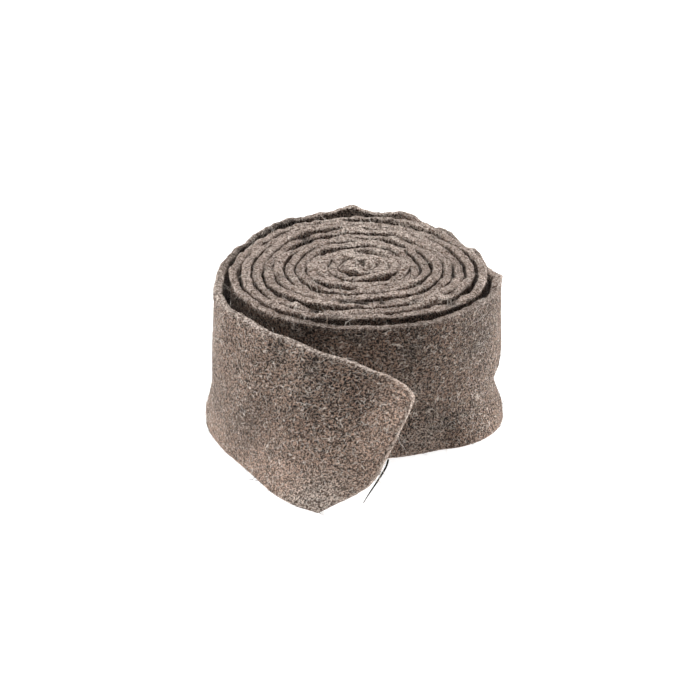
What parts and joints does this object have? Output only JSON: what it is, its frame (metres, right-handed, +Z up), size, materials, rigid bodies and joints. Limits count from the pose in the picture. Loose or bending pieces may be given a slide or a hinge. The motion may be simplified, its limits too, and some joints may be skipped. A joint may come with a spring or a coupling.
{
  "type": "roll of felt",
  "caption": "Wound roll of thick felt ribbon standing on its edge, its outermost turn loose and its free end leaning out in front.",
  "frame": {"origin": "centre of the felt's bounding box, at the floor it stands on", "axes": "+Z up along the winding axis, -Y to the front, where the free end leans out"},
  "size_m": [0.1566, 0.2099, 0.0811],
  "materials": {
    "felt": "matte, fuzzy, mottled grey-brown wool",
    "thread": "matte dark thread"
  },
  "bodies": {
    "root": {"felt_roll": "felt", "loose_thread": "thread"}
  },
  "joints": []
}
